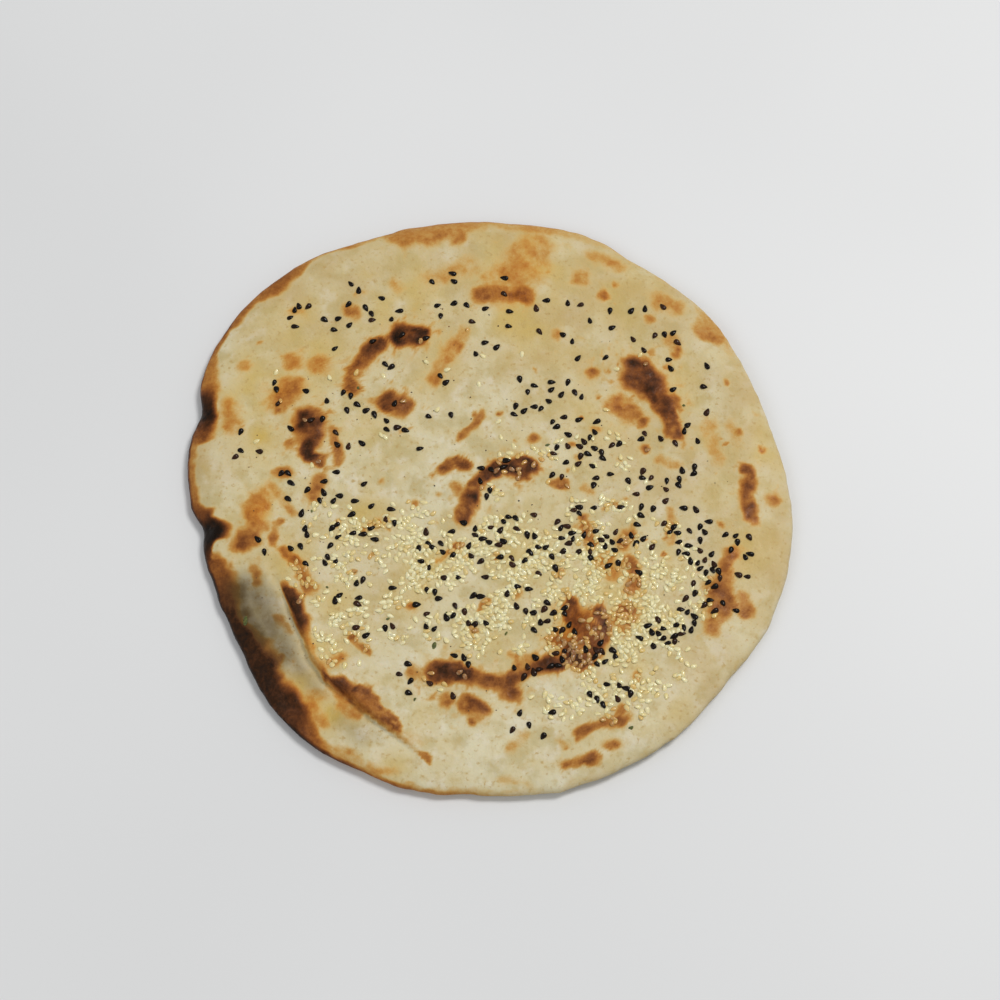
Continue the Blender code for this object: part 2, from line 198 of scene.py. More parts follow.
# Browning of the rim: bearing, browning, how far in from the rim it reaches.
RIM_BROWNING = (
    (15, 0.06, 3), (30, 0.14, 4), (36, 0.34, 7), (41, 0.3, 6), (46, 0.12, 3), (60, 0.18, 3),
    (72, 0.24, 5), (79, 0.34, 8), (88, 0.28, 6), (96, 0.36, 8), (104, 0.38, 8), (108, 0.42, 9),
    (112, 0.26, 3), (118, 0.38, 3), (124, 0.26, 3), (129, 0.52, 6), (134, 0.58, 8), (138, 0.48, 5),
    (146, 0.54, 3.6), (151, 0.5, 3.2), (154, 0.42, 6), (158, 0.42, 10), (160.5, 0.8, 6), (162, 0.96, 6),
    (164.5, 0.92, 7), (167, 0.7, 9), (169.5, 0.56, 9.5), (171.5, 0.4, 4), (178, 0.42, 3.6),
    (183, 0.5, 5), (185, 0.66, 9), (187, 0.84, 6), (188.6, 0.98, 7.5), (190, 1, 10), (191.8, 1, 10.5),
    (193.4, 0.9, 5), (195, 0.66, 2.4), (196.5, 0.6, 8), (199, 0.6, 7.6), (201, 0.62, 10),
    (204, 0.74, 9), (208, 0.88, 5.8), (211, 0.9, 5.6), (213, 0.9, 7.4), (216, 0.88, 9.2),
    (217.5, 0.88, 10.8), (220.5, 0.9, 11), (223, 0.9, 9.8), (226, 0.88, 9.2), (230, 0.85, 11.4),
    (235, 0.71, 9.8), (239, 0.5, 5.6), (242, 0.3, 3.2), (246, 0.28, 2.6), (250, 0.24, 2.2),
    (258, 0.28, 2.4), (270, 0.2, 2), (300, 0.12, 2), (345, 0.08, 2),
)
# The rim's darkest line, partly charred rim and partly painted shade where the far rim turns away from the
# light: bearing and browning.
RIM_CHAR_AND_SHADE_LINE = (
    (20, 0.1), (60, 0.36), (80, 0.5), (95, 0.56), (118, 0.62), (128, 0.52), (142, 0.74), (150, 0.66),
    (163, 1), (175, 0.8), (190, 1), (205, 1), (236, 1), (243, 0.78), (252, 0.54), (262, 0.42),
    (275, 0.24), (288, 0),
)
RIM_CHAR_AND_SHADE_WIDTH = 1.7
RIM_UNDER_REACH = 5.0

# What breaks up soft-edged patches: the noise's cell and swing, and the most that it gives.
PATCH_NOISE = (6.0, 0.7, 1.4)
# Yellow, buttery crust: x, y, radius, strength.
BUTTER = (
    (-80, 34, 14, 1), (-74, 18, 11, 0.95), (-58, 46, 13, 0.8), (-74, -4, 9, 0.5), (-53, -56, 7, 0.9),
    (-59, -69, 6, 1), (-55, -76, 6, 1), (-49, -78, 6, 1), (-46, -75, 5, 0.8), (-64, -26, 8, 0.7),
    (-40, -11, 8, 0.8), (-40, 22, 12, 0.45), (-76, -9, 6, 0.9), (-30, 72, 18, 0.7), (12, 80, 20, 0.9),
    (44, 72, 20, 0.6), (10, 64, 16, 0.8), (38, 25, 18, 0.5), (90, 12, 14, 0.6), (86, -24, 12, 0.6),
    (66, 40, 16, 0.5), (62, -30, 9, 0.5), (40, -32, 12, 0.75), (12, -26, 12, 0.6), (-18, -30, 10, 0.7),
    (-26, -40, 8, 0.7), (28, -52, 11, 0.8), (48, -62, 9, 0.5), (-48, -42, 8, 0.7), (-66, 62, 12, 0.6),
    (-20, 50, 14, 0.5), (-52, -84, 7, 0.7), (-30, -97, 7, 0.5), (-88, 6, 5, 0.2), (-86, -12, 7, 0.4),
    (10, -16, 10, 0.4), (-22, -80, 5, 0.4), (60, -80, 7, 0.4), (-48, -20, 7, 0.5), (78, -4, 10, 0.5),
    (74, 18, 10, 0.4), (-42, -78, 5, 0.7), (2, -56, 9, 0.4), (-84, -26, 6, 0.4), (30, 48, 12, 0.4),
)
# Crust darker and yellower in patches, most towards the far and side edges: partly an even tan it baked to,
# partly painted shade where the light falls off. x, y, radius, strength.
TAN_AND_SHADE_PATCHES = (
    (96, -22, 28, 0.55), (94, 30, 34, 0.48), (52, 84, 40, 0.6), (0, 98, 32, 0.6), (-62, 78, 28, 0.55),
    (76, -68, 20, 0.5), (24, 58, 30, 0.5), (62, 10, 26, 0.5), (-20, 60, 26, 0.35), (-96, 10, 12, 0.5),
    (60, -40, 16, 0.3), (-60, -30, 14, 0.3), (-40, 90, 20, 0.42), (-38, -30, 20, 0.3),
    (-58, -68, 9, 0.5), (-47, -57, 12, 0.35),
)
# Crust greyed between the rim's dark band and the fold, given as the marks are: partly its own dark olive
# colour, partly painted shade where the band slopes away from the light.
ASH_AND_SHADE_BANDS = (
    (0.92, 5.5, -80, -36, -79, -43.5, -76, -48, -72.5, -53),
    (0.76, 7, -76, -38, -72, -46, -68, -53, -65, -58),
    (0.58, 6, -69, -38, -65, -46, -61.5, -56, -59, -62), (0.44, 5, -58, -62, -54, -68),
    (0.28, 4, -46, -80, -40, -86), (0.24, 4, -42, -78, -34, -84),
)
ASH_AND_SHADE_MOTTLE = (9.0, 0.06)
# The ash and its painted shade come up over this distance beyond the fold's edge.
ASH_AND_SHADE_START = 5.0
# Sesame grains on a square millimetre where the crust counts as covered, and how that falls away outward.
SESAME_COVER = 0.9
SESAME_COVER_FALL = (0.6, 0.6)

# Finer relief: the width and height of its bumps.
CRUST_GRAIN = ((12.0, 0.11), (5.0, 0.09), (2.4, 0.05))
# Burnt crust stands up: by how much, and the browning where that starts and over which it comes up.
CHAR_HEIGHT = 0.04
CHAR_RISE = (0.35, 0.5)
CHAR_GRAIN = ((1.9, 0.10),)
ROLL_MIDDLE = (8.0, -18.0)
ROLL_PITCH = 10.5
ROLL_LINE_HEIGHT = 0.18
ROLL_LINE_SHARPNESS = 5
# How far the lines wander, in turns, and where they show: the noise's cell, contrast and mean.
ROLL_WANDER = ((26.0, 0.35), (7.0, 0.06))
ROLL_SHOWN = (22.0, 1.5, 0.5)
BLISTERS = 320
BLISTER_REACH = 97.0
BLISTER_RADIUS = (1.1, 3.4)
BLISTER_SHRINK = (0.6, 1.0)
BLISTER_HEIGHT = (0.06, 0.18)
BLISTER_DRAW = 77
BROWN_BLISTER_SHARE = 0.30
BROWN_BLISTER_BROWNING = (0.24, 0.52)
BROWN_BLISTER_REACH = 0.8
UNDER_DIMPLES = ((16.0, 0.45), (6.0, 0.25), (2.6, 0.08))
UNDER_DIMPLE_START = 0.05
UNDER_SCORCH = ((19.0, 0.30), (12.0, 0.28), (7.0, 0.22), (3.6, 0.14), (1.8, 0.08))
# The underside's pale, golden and burnt browning, and where the noise turns it burnt and pale.
UNDER_BROWNING = (0.08, 0.27, 0.86)
UNDER_BURNT_RISE = (0.08, 0.4)
UNDER_PALE_RISE = (0.0, 0.3)
NOISE_TABLE = 256

# The rim's fine unevenness, which grows outward with a power of the distance.
RIM_GRAIN = ((7.0, 0.35), (2.6, 0.15))
RIM_GRAIN_POWER = 6
NOMINAL_RADIUS = 100.0

# The bread's mesh: rings from the middle to the rim, on either side.
RINGS = 108
RING_CROWDING = 1.12

# Black seeds: where they lie thickly. Middle x and y, half width, half height, number.
SEED_PATCHES = (
    (-58, -16, 18, 15, 17), (-40, -8, 12, 12, 8), (-34, -42, 22, 12, 12), (-8, -24, 17, 11, 19),
    (-10, -42, 14, 10, 12), (13, -21, 14, 12, 16), (12, -40, 10, 6, 5), (30, -16, 11, 9, 15),
    (42, -21, 12, 13, 15), (55, -6, 12, 12, 10), (67, -17, 8, 10, 11), (71, -28, 4, 6, 9),
    (66, -42, 8, 9, 10), (80, -28, 7, 18, 7), (57, -52, 9, 5, 14), (22, -48, 9, 6, 12),
    (36, -59, 6, 4, 12), (15, -64, 7, 5, 9), (39, -71, 7, 8, 8), (-18, -66, 17, 8, 6),
    (14, -82, 10, 8, 4), (0, 2, 11, 9, 7), (35, 13, 21, 14, 22), (22, 33, 20, 11, 13),
    (63, 12, 13, 18, 10), (-62, 20, 25, 25, 16), (-35, 30, 26, 20, 12), (-50, 62, 25, 15, 16),
    (-5, 66, 27, 17, 13), (42, 62, 27, 16, 14), (72, 40, 13, 17, 8), (59, -52, 4, 3, 10),
    (38, -60, 4, 3.5, 10), (23, -62, 3, 4, 7), (73, -30, 3, 7, 12),
)
# Rounds of scattering, with their draw, share of each patch's number and gap: the solid model's seeds, then
# more that fill the smaller gaps between them.
SEED_ROUNDS = ((1906, 0.55, 3.4), (42, 1.1, 1.9))
# How evenly a patch is filled: 0.5 is even, and more crowds its middle.
SEED_CROWDING = 0.6
SEED_SIZES = (0.9, 1.1)
GRAIN_STRETCH = (0.92, 1.08)
SEED_LAYING_DRAW = 1907
BLACK_SEED = dict(columns=12, rows=8, length=2.7, width=1.65, thickness=1.1, narrowing=0.42, ridges=0.07)
SEED_SUNK = 0.38
SEED_TILT = 12.0
SEED_RIM_LIMIT = 0.9
# Seeds are dropped from this height, in metres, to find the crust below.
DROP_HEIGHT = 0.1

# White sesame: middle x and y, half width, half height, number.
SESAME_PATCHES = (
    (50, -46, 13, 16, 900), (35, -32, 13, 10, 560), (42, -68, 13, 10, 300), (8, -22, 18, 12, 560),
    (-18, -27, 12, 11, 300), (-38, -28, 15, 18, 380), (-57, -30, 8, 13, 80), (-46, -54, 10, 10, 100),
    (-8, -49, 15, 7, 200), (12, -44, 14, 9, 380), (28, -53, 10, 12, 200), (60, -66, 10, 10, 60),
    (48, -83, 8, 5, 40), (22, -74, 10, 7, 40), (58, -24, 10, 13, 260), (38, -14, 15, 9, 220),
    (69, -38, 7, 10, 60), (-50, -12, 12, 7, 50), (-24, -12, 14, 7, 60), (30, 8, 30, 14, 60),
    (-16, -70, 12, 6, 10), (0, 40, 55, 30, 30), (-60, 20, 22, 30, 14), (14, 8, 12, 8, 30),
    (0, -3, 5, 4, 22), (16, -34, 9, 6, 100), (-30, -48, 10, 8, 60), (0, -57, 14, 3, 40),
    (36, -79, 9, 4, 30),
)
SESAME_DRAW = 5
SESAME_GAP = 1.0
# Sesame lies in clumps: their size, the mean share of grains kept, how far it swings and the least kept.
SESAME_CLUMPS = (6.0, 0.72, 0.8, 0.08)
SESAME_TOASTING = 0.38
SESAME = dict(columns=8, rows=5, length=2.55, width=1.6, thickness=0.76, narrowing=0.34)
SESAME_SUNK = 0.48
SESAME_TILT = 20.0

# Herb flakes: x, y, length.
HERBS = (
    (-78, -47, 3.2), (-17, -56, 2.6), (-23, -74, 1.6), (45, -84, 2.2), (-13, -45, 1.4), (-32, -47, 1.3),
    (-52, -36, 1.3), (6, -52, 1.4), (20, 15, 1.7), (-44, 36, 1.6), (66, 30, 1.6), (-58, -9, 1.3),
)
HERB_DRAW = 8
HERB = dict(columns=8, rows=6, length=1.0, width=0.55, thickness=0.12, narrowing=0.2)
# A flake's waves along its length (height and turns) and its curl, for a flake 1 long.
HERB_WAVES = (0.10, 5.0)
HERB_CURL = 0.25
HERB_HEIGHT = 0.10
HERB_TILT = 14.0

# Specks of burnt flour.
SPECKS = 170
SPECK_DRAW = 31
SPECK = dict(columns=6, rows=4, length=2.0, width=1.6, thickness=1.1, narrowing=0.15)
SPECK_RADIUS = (0.16, 0.36)
SPECK_SHRINK = (0.6, 1.0)
# Specks lie in an oval of this half width, squashed and shifted towards the viewer.
SPECK_REACH = 84.0
SPECK_SQUASH = 0.9
SPECK_SHIFT = -6.0
SPECK_HEIGHT = 0.05
SPECK_TILT = 30.0

# The camera: the bread is 0.2 m wide and covers 602 of the picture's 1000 pixels.
CAMERA_ELEVATION = 66.0
CAMERA_LENS = 70.0
SENSOR_WIDTH = 36.0
PICTURE_WIDTH = 1000.0
BREAD_WIDTH_IN_PICTURE = 602.0
BREAD_WIDTH = 0.2
CAMERA_AIM = (3.96 * MM, -3.66 * MM, 4.0 * MM)

# Studio: the floor's size and the lights, in metres and watts (name, place, size, power, colour).
FLOOR_SIZE = 40.0
SKY_COLOUR = (1.0, 1.0, 1.0, 1.0)
SKY_STRENGTH = 0.42
LIGHTS = (
    ("key", (1.00, 0.60, 1.80), 0.70, 25.0, (1.0, 0.99, 0.97)),
    ("fill", (-1.40, -0.90, 1.60), 1.40, 8.0, (0.97, 0.99, 1.0)),
)


def srgb(red, green, blue):
    """A colour given as 0 to 255, as the shaders want it."""
    share = np.array((red, green, blue), float) / 255.0
    linear = np.where(share <= 0.04045, share / 12.92, ((share + 0.055) / 1.055) ** 2.4)
    return (*linear.tolist(), 1.0)


# Colours of the crust, pale to burnt, and of what is on it.
PALE_CRUST = srgb(215, 206, 173)
WARM_CRUST = srgb(207, 192, 149)
FLOURY_CRUST = srgb(221, 213, 190)
WET_CRUST = srgb(191, 176, 130)
STRAW_CRUST = srgb(190, 166, 108)
# Partly the crust's own tan, partly painted shade where the light falls off.
TAN_AND_SHADE_CRUST = srgb(188, 160, 106)
BUTTERY_CRUST = srgb(200, 172, 96)
# Partly the crust's own dark olive, partly painted shade of the band beyond the fold.
ASH_AND_SHADE_CRUST = srgb(80, 61, 31)
FRECKLE = srgb(180, 146, 88)
# Baked crust is multiplied by this where it is buttery.
AMBER_TINT = (1.12, 0.92, 0.55, 1.0)
# Colours by value: value, red, green, blue.
BAKED_STOPS = (
    (0.08, 208, 191, 144), (0.18, 203, 175, 117), (0.28, 195, 155, 88), (0.40, 180, 124, 58),
    (0.52, 152, 95, 42), (0.64, 118, 68, 31), (0.76, 86, 48, 23), (0.88, 54, 30, 11), (1.0, 23, 14, 7),
)
BLACK_SEED_STOPS = ((0.0, 14, 8, 5), (0.7, 22, 13, 7), (1.0, 56, 32, 18))
SESAME_STOPS = (
    (0.0, 236, 227, 182), (0.28, 225, 208, 148), (0.45, 214, 178, 98), (0.6, 200, 148, 66),
    (1.0, 138, 82, 30),
)
HERB_STOPS = ((0.3, 56, 63, 21), (0.6, 92, 98, 34), (0.8, 126, 120, 54))
SPECK_STOPS = ((0.0, 40, 28, 22), (0.7, 84, 54, 34), (1.0, 140, 92, 48))
SESAME_SHADE = srgb(212, 197, 142)
# The crust under dense sesame, speckled as unresolved grains: the darker colour is partly painted shade
# between the grains.
SESAME_BED_AND_SHADE = srgb(196, 176, 118)
SESAME_BED_LIGHT = srgb(222, 211, 168)
FLOOR_LIGHT = srgb(226, 227, 228)
FLOOR_DARK = srgb(220, 221, 222)

# Where a colour-mixing node has its two colours and its result.
MIX_COLOURS = (6, 7)
MIX_RESULT = 2
# Noise in the materials: size in millimetres, detail, and the range turned into another, or into 0 to 1.
WARM_CLOUDS = (16.0, 5.0, 0.35, 0.65)
FLOURY_SPOTS = (6.0, 5.0, 0.48, 0.68, 0.0, 0.7)
WET_SPOTS = (9.0, 5.0, 0.48, 0.66, 0.0, 0.85)
STRAW_SPOTS = (2.8, 4.0, 0.50, 0.70, 0.0, 0.45)
FRECKLES = (1.4, 3.0, 0.58, 0.74, 0.0, 0.6)
BED_GRAIN = (1.1, 2.0, 0.42, 0.60)
ASH_SHADE_STREAKS = (4.0, 5.0, 0.35, 0.65, 0.90, 1.02)
CRUST_ROUGHNESS = (3.0, 3.0, 0.3, 0.7, 0.34, 0.62)
BLACK_SEED_ROUGHNESS = (0.7, 3.0, 0.3, 0.7, 0.22, 0.42)
SESAME_MOTTLE = (0.8, 3.0, 0.3, 0.7, 0.0, 0.25)
SESAME_ROUGHNESS = (1.2, 3.0, 0.3, 0.7, 0.22, 0.45)
SPECK_ROUGHNESS = (0.3, 3.0, 0.3, 0.7, 0.5, 0.8)
FLOOR_CLOUDS = (300.0, 2.0, 0.3, 0.7)
# Noise that is used as it is: size, detail and, for some, roughness.
BAKED_FINE = (1.5, 6.0, 0.7)
BAKED_COARSE = (4.5, 3.0)
HERB_MOTTLE = (0.7, 3.0)
WRINKLE_GRAIN = (0.9, 3.0)
WRINKLES = (3.2, 5.0, 0.6)
BAKED_COARSE_SHARE = 0.5
WRINKLE_GRAIN_SHARE = 0.35
# How far noise shifts the browning: on all crust, more for each 1 of browning, and less again where dark.
BAKED_UNEVENNESS = (0.08, 0.8, 0.45)
BUTTER_SHARE = 0.8
BUTTER_SHINE = 0.10
GLAZE_SHARE = 0.75
BED_SHARE = 0.6
# The browning where pale crust turns baked, baked crust covers the ash and painted shade, and burnt crust
# shines.
PALE_TO_BAKED = (0.03, 0.34)
ASH_SHADE_TO_BAKED = (0.62, 0.88)
CHAR_SHINE = (0.88, 1.0, 0.0, 0.14)
# Bumps too fine for the mesh: size and depth in millimetres.
WRINKLE_DEPTH = 0.36
BLACK_SEED_BUMPS = (0.35, 0.05)
SESAME_BUMPS = (0.4, 0.05)
HERB_BUMPS = (0.3, 0.08)
BUMP_DETAIL = 2.0


# Form of the bread, as in the solid model.


def smooth_step(t):
    """0 below 0, 1 above 1 and an even curve between."""
    t = np.clip(t, 0.0, 1.0)
    return t * t * (3.0 - 2.0 * t)


def rise(value, start, over):
    """0 up to the start, and 1 from where the value has gone over that distance."""
    return smooth_step((value - start) / over)


def bell(distance, half_width):
    return np.exp(-((distance / half_width) ** 2))


def turn_between(bearing, other):
    """The smaller angle between two bearings, in degrees."""
    return (bearing - other + 180.0) % 360.0 - 180.0


def rim_table():
    """The rim's radius at every half degree: straight between its points, then smoothed all round."""
    bearings = np.arange(0.0, 360.0, 0.5)
    points = np.array(RIM_POINTS, float)
    straight = np.interp(bearings, points[:, 0], points[:, 1], period=360.0)
    spread = bell(turn_between(bearings, 0.0), RIM_SMOOTHING)
    smooth = np.fft.irfft(np.fft.rfft(straight) * np.fft.rfft(spread / spread.sum()), len(bearings))
    for bearing, half_width, depth in NOTCHES:
        smooth -= depth * bell(turn_between(bearings, bearing), half_width)
    return bearings, smooth


RIM_BEARINGS, RIM_RADII = rim_table()


def rim_radius(bearing):
    return np.interp(bearing, RIM_BEARINGS, RIM_RADII, period=360.0)


def rim_middle():
    """The middle of the outline's box, which lies over the origin."""
    angles = np.radians(RIM_BEARINGS)
    x, y = RIM_RADII * np.cos(angles), RIM_RADII * np.sin(angles)
    return (x.min() + x.max()) / 2.0, (y.min() + y.max()) / 2.0


def along(points, x, y):
    """For each place: signed distance from a line through the points, positive on its right, and how far
    along it the nearest point is, from 0 to 1. A single point gives plain distances."""
    points = np.array(points, float).reshape(-1, 2)
    if len(points) == 1:
        return np.hypot(x - points[0, 0], y - points[0, 1]), np.zeros(np.shape(x))
    lengths = np.hypot(*np.diff(points, axis=0).T)
    starts = np.concatenate([[0.0], np.cumsum(lengths)])
    nearest = np.full(np.shape(x), np.inf)
    signed = np.zeros(np.shape(x))
    share = np.zeros(np.shape(x))
    for (ax, ay), (bx, by), length, start in zip(points, points[1:], lengths, starts):
        ux, uy = (bx - ax) / length, (by - ay) / length
        run = np.clip((x - ax) * ux + (y - ay) * uy, 0.0, length)
        off_x, off_y = x - ax - run * ux, y - ay - run * uy
        distance = np.hypot(off_x, off_y)
        closer = distance < nearest
        nearest = np.where(closer, distance, nearest)
        signed = np.where(closer, np.where(off_x * uy - off_y * ux >= 0.0, distance, -distance), signed)
        share = np.where(closer, (start + run) / starts[-1], share)
    return signed, share


def crease_relief(x, y):
    """The fold's raised lip, the drop beyond its edge, and the crust that rises again towards the rim."""
    distance, share = along(CREASE, x, y)
    beyond = smooth_step(distance / CREASE_EDGE_WIDTH + 0.5)
    lip = CREASE_LIP * bell(np.minimum(distance, 0.0), CREASE_LIP_WIDTH)
    valley = -CREASE_DROP * bell(np.maximum(distance, 0.0), CREASE_VALLEY_WIDTH)
    fade = smooth_step(share / CREASE_FADES[0]) * smooth_step((1.0 - share) / CREASE_FADES[1])
    return fade * (lip * (1.0 - beyond) + valley * beyond)


def crust_relief(x, y):
    """Everything large that rises from or sinks into the even upper crust."""
    relief = crease_relief(x, y)
    for height, half_width, *points in RIDGES:
        relief += height * bell(along(points, x, y)[0], half_width)
    for bubble_x, bubble_y, radius, height in BUBBLES:
        relief += height * bell(np.hypot(x - bubble_x, y - bubble_y), radius)
    for wave_x, wave_y, phase, height in SWELLS:
        relief += height * np.sin(2.0 * math.pi * ((wave_x * x + wave_y * y) / 100.0 + phase))
    return relief


def lift(bearing, fraction):
    """How far the bread's edge is off the surface that it lies on."""
    raised = sum(height * bell(turn_between(bearing, middle), width) for middle, width, height in LIFTS)
    return raised * rise(fraction, LIFT_START, 1.0 - LIFT_START)


def upper_height(x, y, bearing, fraction, finer):
    middle, width, shift = FOLDED_SIDE
    shoulder = SHOULDER - shift * bell(turn_between(bearing, middle), width)
    past = np.clip((fraction - shoulder) / (1.0 - shoulder), 0.0, 1.0)
    fall = np.sqrt(1.0 - past**2)
    relief = (crust_relief(x, y) + finer) * smooth_step((1.0 - fraction) / RIM_FADE)
    return EDGE_HEIGHT + (CROWN - EDGE_HEIGHT) * fall + relief + lift(bearing, fraction)


def under_height(bearing, fraction):
    past = np.clip((fraction - UNDER_SHOULDER) / (1.0 - UNDER_SHOULDER), 0.0, 1.0)
    return EDGE_HEIGHT * (1.0 - np.sqrt(1.0 - past**2)) + lift(bearing, fraction)


# Finer crust and its browning.


def noise(x, y, cell, seed):
    """Smooth random values from -1 to 1, in bumps about one cell wide."""
    draw = np.random.default_rng(seed)
    values = draw.uniform(-1.0, 1.0, (NOISE_TABLE, NOISE_TABLE))
    turn = draw.uniform(0.0, 2.0 * math.pi)
    u = (x * math.cos(turn) - y * math.sin(turn)) / cell
    v = (x * math.sin(turn) + y * math.cos(turn)) / cell
    column, row = np.floor(u).astype(int), np.floor(v).astype(int)
    across, up = smooth_step(u - column), smooth_step(v - row)

    def corner(i, j):
        return values[(column + i) % NOISE_TABLE, (row + j) % NOISE_TABLE]

    near = corner(0, 0) * (1.0 - across) + corner(1, 0) * across
    far = corner(0, 1) * (1.0 - across) + corner(1, 1) * across
    return near * (1.0 - up) + far * up


def noises(x, y, layers, seed):
    """Layers of noise added up; their seeds count on from the first."""
    return sum(height * noise(x, y, cell, number) for number, (cell, height) in enumerate(layers, seed))


def blisters():
    """Small bubbles all over the crust: x, y, radius, height, browning."""
    draw = random.Random(BLISTER_DRAW)
    found = []
    for _ in range(BLISTERS):
        bearing = draw.uniform(0.0, 2.0 * math.pi)
        out = BLISTER_REACH * math.sqrt(draw.random())
        radius = draw.uniform(*BLISTER_RADIUS) * draw.uniform(*BLISTER_SHRINK)
        height = draw.uniform(*BLISTER_HEIGHT)
        brown = draw.uniform(*BROWN_BLISTER_BROWNING) if draw.random() < BROWN_BLISTER_SHARE else 0.0
        found.append((out * math.cos(bearing), out * math.sin(bearing), radius, height, brown))
    return found


def marks_browning(x, y):
    """Browning from the marks, with uneven edges, flecks and a faint golden halo."""
    uneven_x = x + noises(x, y, MARK_WANDER, seed=101)
    uneven_y = y + noises(x, y, MARK_WANDER, seed=111)
    flecks = rise(noise(x, y, FLECK_CELL, seed=19), *FLECK_RISE)
    browning = np.zeros(x.shape)
    for peak, half_width, *points in MARKS:
        near = np.abs(along(points, uneven_x, uneven_y)[0]) / half_width
        plateau = MARK_PLATEAU * peak
        core = peak * (1.0 - smooth_step((near - plateau) / (MARK_END - plateau)))
        halo = HALO_BROWNING * peak * bell(near, HALO_WIDTH)
        flecked = FLECK_BROWNING * peak * flecks * bell(near, FLECK_REACH)
        browning = np.maximum(browning, np.maximum(core, np.maximum(halo, flecked)))
    for blister_x, blister_y, radius, _, brown in blisters():
        if brown:
            near = np.hypot(uneven_x - blister_x, uneven_y - blister_y) / radius
            browning = np.maximum(browning, brown * bell(near, BROWN_BLISTER_REACH))
    return np.clip(browning * (1.0 + noises(x, y, MOTTLE, seed=24)), 0.0, 1.0)


def lip_browning(x, y):
    """Browning of the fold's raised edge, cut off sharply where the crust drops away beyond it."""
    distance, share = along(CREASE, x, y)
    places, peaks, reaches = np.array(LIP_BROWNING).T
    inward = noises(x, y, LIP_WANDER, seed=27) - distance
    fade = 1.0 - rise(inward / np.interp(share, places, reaches), *LIP_FALL)
    return np.interp(share, places, peaks) * fade * (1.0 - smooth_step(distance / LIP_EDGE))


def rim_browning(x, y, bearing, inset):
    """Browning from the rim, at a distance in from it along the crust; its dark edge line is partly painted
    shade.
    """
    bearings, peaks, reaches = np.array(RIM_BROWNING).T
    shaken = bearing + noises(x, y, RIM_SHAKE, seed=30)
    depth = inset + noises(x, y, RIM_WANDER, seed=15)
    fade = 1.0 - rise(depth / np.interp(shaken, bearings, reaches, period=360.0), *RIM_FALL)
    band = np.interp(shaken, bearings, peaks, period=360.0) * fade
    bearings, peaks = np.array(RIM_CHAR_AND_SHADE_LINE).T
    # Dark edge line: charred rim, and painted shade on the far rim.
    char_and_shade_line = 1.0 - smooth_step((inset + noises(x, y, RIM_CHAR_AND_SHADE_WANDER, seed=29)) / RIM_CHAR_AND_SHADE_WIDTH)
    return np.maximum(band, np.interp(bearing, bearings, peaks, period=360.0) * char_and_shade_line)


def patches(table, x, y, seed):
    """Strength of soft-edged patches, broken up unevenly."""
    cell, swing, most = PATCH_NOISE
    strength = np.zeros(x.shape)
    for patch_x, patch_y, radius, peak in table:
        strength = np.maximum(strength, peak * bell(np.hypot(x - patch_x, y - patch_y), radius))
    return strength * np.clip(1.0 + swing * noise(x, y, cell, seed), 0.0, most)


def ash_and_shade(x, y):
    """Strength of the grey crust beyond the fold, partly its own ashen colour and partly painted shade."""
    cell, mottle = ASH_AND_SHADE_MOTTLE
    strength = np.zeros(x.shape)
    for peak, half_width, *points in ASH_AND_SHADE_BANDS:
        strength = np.maximum(strength, peak * bell(along(points, x, y)[0], half_width))
    beyond = smooth_step(along(CREASE, x, y)[0] / ASH_AND_SHADE_START)
    return strength * beyond * (1.0 + mottle * noise(x, y, cell, seed=18))


def sesame_clumps(x, y):
    """The share of the grains kept at a place, so that they lie in clumps."""
    cell, kept, swing, least = SESAME_CLUMPS
    return np.clip(kept + swing * noise(x, y, cell, seed=81), least, 1.0)


def sesame_cover(x, y):
    """How much of the crust the sesame covers, from 0 to 1."""
    cover = np.zeros(x.shape)
    for middle_x, middle_y, half_width, half_height, number in SESAME_PATCHES:
        out = np.hypot((x - middle_x) / half_width, (y - middle_y) / half_height)
        density = number / (math.pi * half_width * half_height)
        cover += density / SESAME_COVER * (1.0 - rise(out, *SESAME_COVER_FALL))
    return np.clip(cover * sesame_clumps(x, y), 0.0, 1.0)


def roll_lines(x, y):
    """Faint ridges where the turns of the rolled dough end at the surface."""
    off_x, off_y = x - ROLL_MIDDLE[0], y - ROLL_MIDDLE[1]
    turns = np.hypot(off_x, off_y) / ROLL_PITCH + np.arctan2(off_y, off_x) / (2.0 * math.pi)
    turns += noises(x, y, ROLL_WANDER, seed=21)
    nearness = np.abs((turns % 1.0) - 0.5) * 2.0
    cell, contrast, mean = ROLL_SHOWN
    shown = smooth_step(noise(x, y, cell, seed=23) * contrast + mean)
    return ROLL_LINE_HEIGHT * nearness**ROLL_LINE_SHARPNESS * shown


def fine_relief(x, y, browning):
    """Grain, roll lines, small blisters, and the rough rise of the burnt crust."""
    relief = roll_lines(x, y) + noises(x, y, CRUST_GRAIN, seed=31)
    for blister_x, blister_y, radius, height, _ in blisters():
        relief += height * bell(np.hypot(x - blister_x, y - blister_y), radius)
    burnt = rise(browning, *CHAR_RISE)
    return relief + burnt * (CHAR_HEIGHT + noises(x, y, CHAR_GRAIN, seed=41))


def under_dimples(x, y):
    """Shallow hollows in the flat underside."""
    return np.maximum(noises(x, y, UNDER_DIMPLES, seed=51) - UNDER_DIMPLE_START, 0.0)


def under_browning(x, y):
    """Scorch marks where the underside lay against the hot wall."""
    spots = noises(x, y, UNDER_SCORCH, seed=61)
    pale, gold, burnt = UNDER_BROWNING
    darker = (burnt - gold) * rise(spots, *UNDER_BURNT_RISE)
    return gold + darker - (gold - pale) * rise(-spots, *UNDER_PALE_RISE)


# Meshes.


